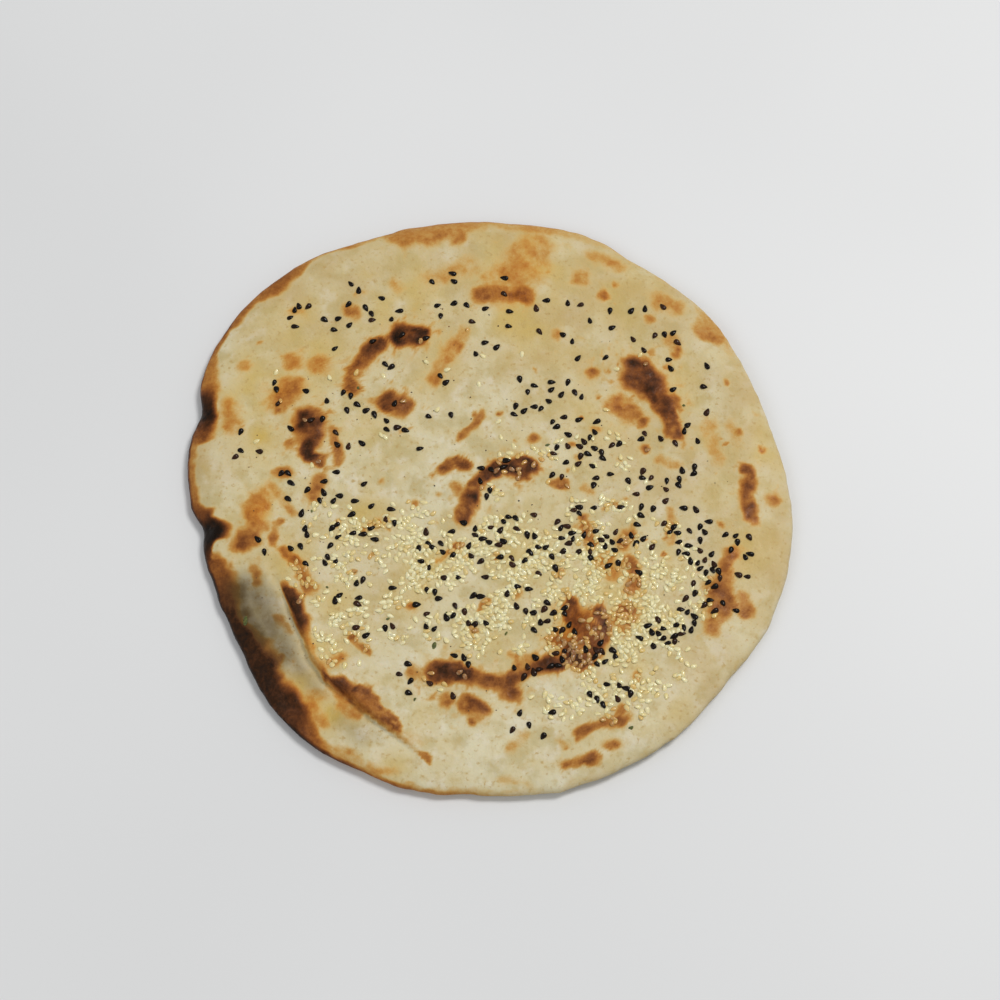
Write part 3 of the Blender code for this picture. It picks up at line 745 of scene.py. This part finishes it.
def disc_grid():
    """Bearing and share of the rim's radius, as square arrays, for a disc of nearly square faces."""
    steps = np.arange(-RINGS, RINGS + 1) / RINGS
    u, v = np.meshgrid(steps, steps, indexing="ij")
    wide = np.abs(u) >= np.abs(v)
    ring = np.maximum(np.abs(u), np.abs(v))
    slope = np.where(wide, v, -u) / np.where(ring > 0.0, np.where(wide, u, v), 1.0)
    start = np.where(wide, np.where(u >= 0.0, 0.0, 180.0), np.where(v >= 0.0, 90.0, 270.0))
    return (start + 45.0 * slope) % 360.0, 1.0 - (1.0 - ring) ** RING_CROWDING


def squares(numbers):
    """The faces between neighbouring points of a square array of point numbers, facing up."""
    corners = (numbers[:-1, :-1], numbers[1:, :-1], numbers[1:, 1:], numbers[:-1, 1:])
    return np.stack([corner.ravel() for corner in corners], axis=1)


def mesh_object(name, points, faces, material):
    """A smooth-shaded mesh object from points in millimetres."""
    mesh = bpy.data.meshes.new(name)
    mesh.from_pydata((np.asarray(points) * MM).tolist(), [], faces)
    mesh.materials.append(material)
    mesh.shade_smooth()
    obj = bpy.data.objects.new(name, mesh)
    bpy.context.scene.collection.objects.link(obj)
    return obj


def add_values(obj, name, values):
    attribute = obj.data.attributes.new(name, "FLOAT", "POINT")
    attribute.data.foreach_set("value", np.asarray(values, np.float32))


def bread_piece(material):
    """The whole bread: an upper and an under side that share the rim, with its baking as point values."""
    bearing, fraction = disc_grid()
    angle = np.radians(bearing)
    rim_x, rim_y = NOMINAL_RADIUS * np.cos(angle), NOMINAL_RADIUS * np.sin(angle)
    uneven_rim = noises(rim_x, rim_y, RIM_GRAIN, seed=71)
    radius = fraction * (rim_radius(bearing) + uneven_rim * fraction**RIM_GRAIN_POWER)
    x, y = radius * np.cos(angle), radius * np.sin(angle)
    at_rim = rim_browning(x, y, bearing, (1.0 - fraction) * rim_radius(bearing))
    browning = np.maximum(np.maximum(marks_browning(x, y), lip_browning(x, y)), at_rim)
    top = upper_height(x, y, bearing, fraction, fine_relief(x, y, browning))
    under = under_height(bearing, fraction) + under_dimples(x, y) * smooth_step((1.0 - fraction) / RIM_FADE)
    rim_reach = bell((1.0 - fraction) * rim_radius(bearing), RIM_UNDER_REACH)
    under_brown = under_browning(x, y) * (1.0 - rim_reach) + at_rim * rim_reach

    inner = fraction < 1.0
    top_numbers = np.arange(x.size).reshape(x.shape)
    under_numbers = top_numbers.copy()
    under_numbers[inner] = x.size + np.arange(inner.sum())
    faces = np.concatenate([squares(top_numbers), squares(under_numbers)[:, ::-1]])
    shift_x, shift_y = rim_middle()

    def both_sides(above, below):
        return np.concatenate([above.ravel(), below[inner]])

    columns = (both_sides(x, x) - shift_x, both_sides(y, y) - shift_y, both_sides(top, under))
    points = np.stack(columns, axis=1)
    bread = mesh_object("bread", points, faces.tolist(), material)
    add_values(bread, "browning", both_sides(browning, under_brown))
    buttery, tanned_and_shaded = patches(BUTTER, x, y, seed=17), patches(TAN_AND_SHADE_PATCHES, x, y, seed=20)
    # The ash and tan values are partly painted shade: beyond the fold, and towards the edges where the
    # light falls off.
    upper = {"butter": buttery, "ash_shade": ash_and_shade(x, y), "sesame": sesame_cover(x, y), "tan_and_shade": tanned_and_shaded}
    for name, values in upper.items():
        add_values(bread, name, both_sides(values, np.zeros(x.shape)))
    return bread


def oval_form(columns, rows, length, width, thickness, narrowing, ridges=0.0):
    """Points and faces of an oval grain that narrows towards +X and may have three blunt ridges."""
    shape = bmesh.new()
    turned = Matrix.Rotation(math.pi / 2.0, 4, "Y")
    bmesh.ops.create_uvsphere(shape, u_segments=columns, v_segments=rows, radius=1.0, matrix=turned)
    points = np.array([vert.co[:] for vert in shape.verts])
    faces = [[vert.index for vert in face.verts] for face in shape.faces]
    shape.free()
    around = np.arctan2(points[:, 2], points[:, 1])
    girth = (1.0 - narrowing * points[:, 0]) * (1.0 + ridges * np.cos(3.0 * around))
    points[:, 0] *= length / 2.0
    points[:, 1] *= width / 2.0 * girth
    points[:, 2] *= thickness / 2.0 * girth
    return points, faces


def scattered(name, form, places, material):
    """One mesh of many copies of a form, each with its matrix in millimetres and its tone."""
    form_points, form_faces = form
    points, faces, tones = [], [], []
    for count, (matrix, tone) in enumerate(places):
        rows = np.array(matrix)
        points.append(form_points @ rows[:3, :3].T + rows[:3, 3])
        first = count * len(form_points)
        faces.extend([first + number for number in face] for face in form_faces)
        tones.append(np.full(len(form_points), tone))
    piece = mesh_object(name, np.concatenate(points), faces, material)
    add_values(piece, "tone", np.concatenate(tones))
    return piece


def laid_on(crust, x, y, turn, size, height, tilt, draw):
    """The matrix, in millimetres, that lays a grain on the crust below a place, at a height above it."""
    shift_x, shift_y = rim_middle()
    above = Vector(((x - shift_x) * MM, (y - shift_y) * MM, DROP_HEIGHT))
    place, normal, _, _ = crust.ray_cast(above, Vector((0.0, 0.0, -1.0)))
    flat = Vector((0.0, 0.0, 1.0)).rotation_difference(normal).to_matrix().to_4x4()
    lean = Matrix.Rotation(math.radians(draw.uniform(-tilt, tilt)), 4, "Y")
    roll = Matrix.Rotation(math.radians(draw.uniform(-tilt, tilt)), 4, "X")
    spread = Matrix.Diagonal((*(size * draw.uniform(*GRAIN_STRETCH) for _ in range(3)), 1.0))
    spot = Matrix.Translation(place / MM + normal * height)
    return spot @ flat @ Matrix.Rotation(math.radians(turn), 4, "Z") @ lean @ roll @ spread


def seed_places(table, share, gap, draw, placed):
    """Places for a share of each patch's seeds, thinning towards its edge and no closer than the gap."""
    placed = list(placed)
    for middle_x, middle_y, half_width, half_height, number in table:
        for _ in range(round(number * share)):
            bearing = draw.uniform(0.0, 2.0 * math.pi)
            out = draw.uniform(0.0, 1.0) ** SEED_CROWDING
            turn = draw.uniform(0.0, 360.0)
            size = draw.uniform(*SEED_SIZES)
            x = middle_x + half_width * out * math.cos(bearing)
            y = middle_y + half_height * out * math.sin(bearing)
            limit = SEED_RIM_LIMIT * rim_radius(math.degrees(math.atan2(y, x)))
            clear = all(math.hypot(x - other[0], y - other[1]) > gap for other in placed)
            if clear and math.hypot(x, y) < limit:
                placed.append((x, y, turn, size))
    return placed


def black_seed_places():
    places = []
    for draw, share, gap in SEED_ROUNDS:
        places = seed_places(SEED_PATCHES, share, gap, random.Random(draw), places)
    return places


def black_seeds_piece(crust, places, material):
    draw = random.Random(SEED_LAYING_DRAW)
    height = BLACK_SEED["thickness"] * (0.5 - SEED_SUNK)
    laid = [(laid_on(crust, *place, height, SEED_TILT, draw), draw.random()) for place in places]
    return scattered("black_seeds", oval_form(**BLACK_SEED), laid, material)


def sesame_piece(crust, black_places, material):
    """Sesame between the black seeds, browner where the crust is."""
    draw = random.Random(SESAME_DRAW)
    places = seed_places(SESAME_PATCHES, 1.0, SESAME_GAP, draw, black_places)[len(black_places):]
    spots = np.array(places)
    toasted = np.maximum(marks_browning(*spots[:, :2].T), lip_browning(*spots[:, :2].T))
    kept = sesame_clumps(spots[:, 0], spots[:, 1])
    height = SESAME["thickness"] * (0.5 - SESAME_SUNK)
    laid = []
    for place, brown, share in zip(places, toasted, kept):
        if draw.random() < share:
            tone = SESAME_TOASTING * draw.random() ** 2 + brown
            laid.append((laid_on(crust, *place, height, SESAME_TILT, draw), tone))
    return scattered("white_sesame", oval_form(**SESAME), laid, material)


def herb_piece(crust, material):
    """Dried leaf flakes: thin, waved and turned each its own way."""
    draw = random.Random(HERB_DRAW)
    points, faces = oval_form(**HERB)
    wave, turn = HERB_WAVES
    points[:, 2] += wave * np.sin(turn * points[:, 0]) + HERB_CURL * points[:, 1] ** 2
    laid = []
    for x, y, length in HERBS:
        matrix = laid_on(crust, x, y, draw.uniform(0.0, 360.0), length, HERB_HEIGHT, HERB_TILT, draw)
        laid.append((matrix, draw.random()))
    return scattered("herb_flakes", (points, faces), laid, material)


def specks_piece(crust, material):
    """Grains of burnt flour, most of them on the nearer half."""
    draw = random.Random(SPECK_DRAW)
    laid = []
    for _ in range(SPECKS):
        bearing, out = draw.uniform(0.0, 2.0 * math.pi), SPECK_REACH * math.sqrt(draw.random())
        x, y = out * math.cos(bearing), SPECK_SQUASH * out * math.sin(bearing) + SPECK_SHIFT
        size = draw.uniform(*SPECK_RADIUS) * draw.uniform(*SPECK_SHRINK)
        matrix = laid_on(crust, x, y, draw.uniform(0.0, 360.0), size, SPECK_HEIGHT, SPECK_TILT, draw)
        laid.append((matrix, draw.random()))
    return scattered("burnt_specks", oval_form(**SPECK), laid, material)


# Materials.


def new_material(name):
    """A material and its tree, with the shader's name for it."""
    material = bpy.data.materials.new(name)
    material.use_nodes = True
    return material, material.node_tree, material.node_tree.nodes["Principled BSDF"]


def feed(tree, socket, value):
    """Gives a socket its value: another socket, a number or a colour."""
    if isinstance(value, bpy.types.NodeSocket):
        tree.links.new(value, socket)
    else:
        socket.default_value = value


def set_values(tree, shader, **values):
    """Feeds the shader's sockets, named with _ for each space."""
    for name, value in values.items():
        feed(tree, shader.inputs[name.replace("_", " ")], value)


def add_node(tree, kind, output, inputs, **settings):
    """Adds a node, with its inputs fed and its settings made, and gives one of its outputs."""
    node = tree.nodes.new("ShaderNode" + kind)
    for name, setting in settings.items():
        setattr(node, name, setting)
    for name, value in inputs.items():
        feed(tree, node.inputs[name], value)
    return node.outputs[output]


def noise_node(tree, size, detail, roughness=0.5):
    """A noise texture's value, in bumps of about a size in millimetres."""
    place = add_node(tree, "TexCoord", "Object", {})
    inputs = {"Vector": place, "Scale": 1.0 / (size * MM), "Detail": detail, "Roughness": roughness}
    return add_node(tree, "TexNoise", "Fac", inputs)


def value_node(tree, name):
    return add_node(tree, "Attribute", "Fac", {}, attribute_name=name)


def math_node(tree, operation, first, second, clamp=False):
    """Two values combined; each is a socket or a number."""
    return add_node(tree, "Math", "Value", {0: first, 1: second}, operation=operation, use_clamp=clamp)


def times(tree, first, second):
    return math_node(tree, "MULTIPLY", first, second)


def range_node(tree, value, low, high, to_low=0.0, to_high=1.0):
    """The value's range turned smoothly into another."""
    inputs = {"Value": value, "From Min": low, "From Max": high, "To Min": to_low, "To Max": to_high}
    return add_node(tree, "MapRange", "Result", inputs, interpolation_type="SMOOTHSTEP")


def noise_range(tree, size, detail, *ranges):
    """A noise texture's value, with its range turned into another."""
    return range_node(tree, noise_node(tree, size, detail), *ranges)


def mix_node(tree, share, first, second, blend="MIX"):
    """Two colours mixed; each is a socket or a colour."""
    inputs = {"Factor": share, MIX_COLOURS[0]: first, MIX_COLOURS[1]: second}
    return add_node(tree, "Mix", MIX_RESULT, inputs, data_type="RGBA", blend_type=blend)


def ramp_node(tree, value, stops):
    """A colour for each value, from stops of value, red, green and blue."""
    ramp = tree.nodes.new("ShaderNodeValToRGB")
    elements = ramp.color_ramp.elements
    while len(elements) < len(stops):
        elements.new(0.5)
    for element, (position, *colour) in zip(elements, stops):
        element.position = position
        element.color = srgb(*colour)
    tree.links.new(value, ramp.inputs["Fac"])
    return ramp.outputs["Color"]


def bump_node(tree, shader, height, depth):
    """Bumps of a depth in millimetres on the shader's normal."""
    inputs = {"Strength": 1.0, "Distance": depth * MM, "Height": height}
    set_values(tree, shader, Normal=add_node(tree, "Bump", "Normal", inputs))


def skin_bumps(tree, shader, size, depth):
    bump_node(tree, shader, noise_node(tree, size, BUMP_DETAIL), depth)


def baked_colour(tree, browning):
    """From golden through orange-brown to black, the browning broken up by a fine and a coarse noise."""
    even, growing, calming = BAKED_UNEVENNESS
    fine = math_node(tree, "SUBTRACT", noise_node(tree, *BAKED_FINE), 0.5)
    coarse = math_node(tree, "SUBTRACT", noise_node(tree, *BAKED_COARSE), 0.5)
    broken = math_node(tree, "ADD", fine, times(tree, coarse, BAKED_COARSE_SHARE))
    calmer = math_node(tree, "SUBTRACT", growing, times(tree, browning, calming))
    reach = math_node(tree, "ADD", times(tree, browning, calmer), even)
    uneven = math_node(tree, "ADD", browning, times(tree, broken, reach), clamp=True)
    return uneven, ramp_node(tree, uneven, BAKED_STOPS)


def pale_colour(tree):
    """The unbrowned crust: cream with floury, wet, buttery and tanned patches, the tanned partly painted
    shade, a speckled bed under the sesame with painted shade between grains, and small golden freckles.
    """
    pale = mix_node(tree, noise_range(tree, *WARM_CLOUDS), PALE_CRUST, WARM_CRUST)
    pale = mix_node(tree, noise_range(tree, *FLOURY_SPOTS), pale, FLOURY_CRUST)
    pale = mix_node(tree, noise_range(tree, *WET_SPOTS), pale, WET_CRUST)
    # Tanned patches, partly painted shade where the light falls off.
    pale = mix_node(tree, value_node(tree, "tan_and_shade"), pale, TAN_AND_SHADE_CRUST)
    buttery = math_node(tree, "MULTIPLY", value_node(tree, "butter"), BUTTER_SHARE, clamp=True)
    pale = mix_node(tree, buttery, pale, BUTTERY_CRUST)
    # Speckles of unresolved sesame: the grains' colour, and painted shade between them.
    grains_and_shade = mix_node(tree, noise_range(tree, *BED_GRAIN), SESAME_BED_AND_SHADE, SESAME_BED_LIGHT)
    pale = mix_node(tree, times(tree, value_node(tree, "sesame"), BED_SHARE), pale, grains_and_shade)
    pale = mix_node(tree, noise_range(tree, *STRAW_SPOTS), pale, STRAW_CRUST)
    return mix_node(tree, noise_range(tree, *FRECKLES), pale, FRECKLE)


def crust_colour(tree):
    """The browning broken up unevenly, and the colour of pale, ashen (partly painted shade) and baked crust
    together.
    """
    uneven, baked = baked_colour(tree, value_node(tree, "browning"))
    glazed = math_node(tree, "MULTIPLY", value_node(tree, "butter"), GLAZE_SHARE, clamp=True)
    baked = mix_node(tree, glazed, baked, AMBER_TINT, "MULTIPLY")
    colour = mix_node(tree, range_node(tree, uneven, *PALE_TO_BAKED), pale_colour(tree), baked)
    # Ash and painted shade on the band beyond the fold.
    streaks = noise_range(tree, *ASH_SHADE_STREAKS)
    ash_shade = math_node(tree, "MULTIPLY", value_node(tree, "ash_shade"), streaks, clamp=True)
    ash_shaded_colour = mix_node(tree, ash_shade, colour, ASH_AND_SHADE_CRUST)
    return uneven, mix_node(tree, range_node(tree, uneven, *ASH_SHADE_TO_BAKED), ash_shaded_colour, baked)


def crust_material():
    material, tree, shader = new_material("toasted_crust")
    uneven, colour = crust_colour(tree)
    buttery = times(tree, value_node(tree, "butter"), BUTTER_SHINE)
    rough = math_node(tree, "SUBTRACT", noise_range(tree, *CRUST_ROUGHNESS), buttery)
    rough = math_node(tree, "SUBTRACT", rough, range_node(tree, uneven, *CHAR_SHINE))
    set_values(tree, shader, Base_Color=colour, Roughness=rough, Specular_IOR_Level=0.11)
    set_values(tree, shader, Subsurface_Weight=0.10, Subsurface_Radius=(1.0, 0.7, 0.4),
               Subsurface_Scale=0.0015)
    grain = times(tree, noise_node(tree, *WRINKLE_GRAIN), WRINKLE_GRAIN_SHARE)
    wrinkles = math_node(tree, "ADD", noise_node(tree, *WRINKLES), grain)
    bump_node(tree, shader, wrinkles, WRINKLE_DEPTH)
    return material


def black_seed_material():
    material, tree, shader = new_material("black_seed_skin")
    colour = ramp_node(tree, value_node(tree, "tone"), BLACK_SEED_STOPS)
    rough = noise_range(tree, *BLACK_SEED_ROUGHNESS)
    set_values(tree, shader, Base_Color=colour, Roughness=rough, Specular_IOR_Level=0.06)
    set_values(tree, shader, Coat_Weight=0.20, Coat_Roughness=0.07)
    skin_bumps(tree, shader, *BLACK_SEED_BUMPS)
    return material


def sesame_material():
    material, tree, shader = new_material("sesame_skin")
    toasted = ramp_node(tree, value_node(tree, "tone"), SESAME_STOPS)
    colour = mix_node(tree, noise_range(tree, *SESAME_MOTTLE), toasted, SESAME_SHADE)
    set_values(tree, shader, Base_Color=colour, Roughness=noise_range(tree, *SESAME_ROUGHNESS))
    set_values(tree, shader, Subsurface_Weight=0.3, Subsurface_Radius=(1.0, 0.8, 0.5),
               Subsurface_Scale=0.0008)
    set_values(tree, shader, Coat_Weight=0.4, Coat_Roughness=0.08)
    skin_bumps(tree, shader, *SESAME_BUMPS)
    return material


def herb_material():
    material, tree, shader = new_material("dried_herb")
    colour = ramp_node(tree, noise_node(tree, *HERB_MOTTLE), HERB_STOPS)
    set_values(tree, shader, Base_Color=colour, Roughness=0.6)
    skin_bumps(tree, shader, *HERB_BUMPS)
    return material


def speck_material():
    material, tree, shader = new_material("burnt_flour")
    colour = ramp_node(tree, value_node(tree, "tone"), SPECK_STOPS)
    set_values(tree, shader, Base_Color=colour, Roughness=noise_range(tree, *SPECK_ROUGHNESS))
    return material


def floor_material():
    material, tree, shader = new_material("pale_floor")
    colour = mix_node(tree, noise_range(tree, *FLOOR_CLOUDS), FLOOR_LIGHT, FLOOR_DARK)
    set_values(tree, shader, Base_Color=colour, Roughness=0.55)
    return material


# Stage, lights and camera.


def add_floor():
    bpy.ops.mesh.primitive_plane_add(size=FLOOR_SIZE)
    floor = bpy.context.object
    floor.name = "floor"
    floor.data.materials.append(floor_material())


def look_at(obj, target):
    direction = Vector(target) - obj.location
    obj.rotation_euler = direction.to_track_quat("-Z", "Y").to_euler()


def add_light(name, place, size, power, colour):
    light = bpy.data.lights.new(name, "AREA")
    light.shape = "DISK"
    light.size = size
    light.energy = power
    light.color = colour
    lamp = bpy.data.objects.new(name, light)
    lamp.location = place
    bpy.context.scene.collection.objects.link(lamp)
    look_at(lamp, (0.0, 0.0, 0.0))


def add_lights():
    for light in LIGHTS:
        add_light(*light)
    world = bpy.data.worlds.new("studio")
    world.use_nodes = True
    sky = world.node_tree.nodes["Background"]
    set_values(world.node_tree, sky, Color=SKY_COLOUR, Strength=SKY_STRENGTH)
    bpy.context.scene.world = world


def add_camera():
    """Looks down on the bread from the photograph's angle, at the distance that gives its size there."""
    data = bpy.data.cameras.new("camera")
    data.lens = CAMERA_LENS
    data.sensor_width = SENSOR_WIDTH
    camera = bpy.data.objects.new("camera", data)
    distance = BREAD_WIDTH * CAMERA_LENS / SENSOR_WIDTH * PICTURE_WIDTH / BREAD_WIDTH_IN_PICTURE
    elevation = math.radians(CAMERA_ELEVATION)
    back = Vector((0.0, -math.cos(elevation), math.sin(elevation)))
    camera.location = Vector(CAMERA_AIM) + back * distance
    bpy.context.scene.collection.objects.link(camera)
    look_at(camera, CAMERA_AIM)
    bpy.context.scene.camera = camera


def main():
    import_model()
    bpy.context.scene.view_settings.view_transform = "Standard"
    add_camera()
    add_lights()
    add_floor()

    bread = bread_piece(crust_material())
    bpy.context.view_layer.update()
    crust = BVHTree.FromObject(bread, bpy.context.evaluated_depsgraph_get())
    places = black_seed_places()
    pieces = (
        (bread, "crust"),
        (black_seeds_piece(crust, places, black_seed_material()), "black_seed"),
        (sesame_piece(crust, places, sesame_material()), "white_seed"),
        (herb_piece(crust, herb_material()), "herb"),
        (specks_piece(crust, speck_material()), "crust"),
    )
    for piece, slot in pieces:
        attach(piece, "root")
    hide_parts("paratha")


main()
